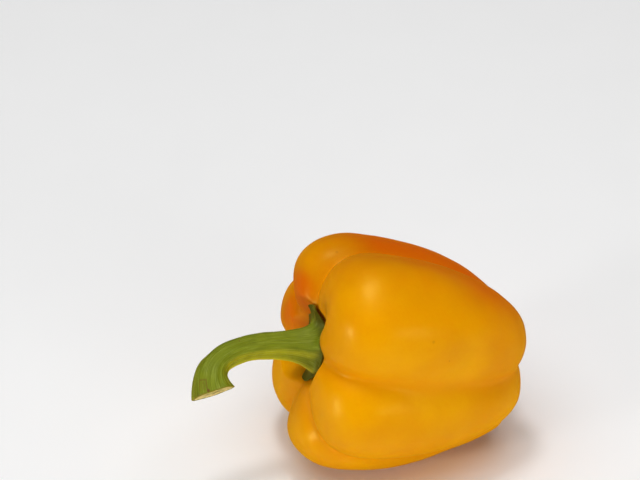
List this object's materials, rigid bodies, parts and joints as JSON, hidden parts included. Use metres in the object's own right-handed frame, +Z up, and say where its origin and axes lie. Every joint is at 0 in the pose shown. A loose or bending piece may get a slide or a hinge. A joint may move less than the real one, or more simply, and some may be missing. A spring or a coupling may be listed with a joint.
{
  "type": "bell pepper",
  "caption": "Whole blocky bell pepper lying on its side, with rounded lobes, a sunken stem end and a thick curved stem with its calyx.",
  "frame": {"origin": "on the surface the pepper rests on, under the middle of its box", "axes": "+Z up; the stem points to -X and the blossom end to +X; the side seen in the picture faces -Y"},
  "size_m": [0.127, 0.0832, 0.0871],
  "materials": {
    "skin": "smooth waxy yellow skin, a little more orange in the valleys between the lobes",
    "stem_green": "satin green with fine lengthwise streaks, darker on the calyx, pale and fibrous on the cut end"
  },
  "bodies": {
    "root": {"fruit": "skin", "stem": "stem_green"}
  },
  "joints": []
}
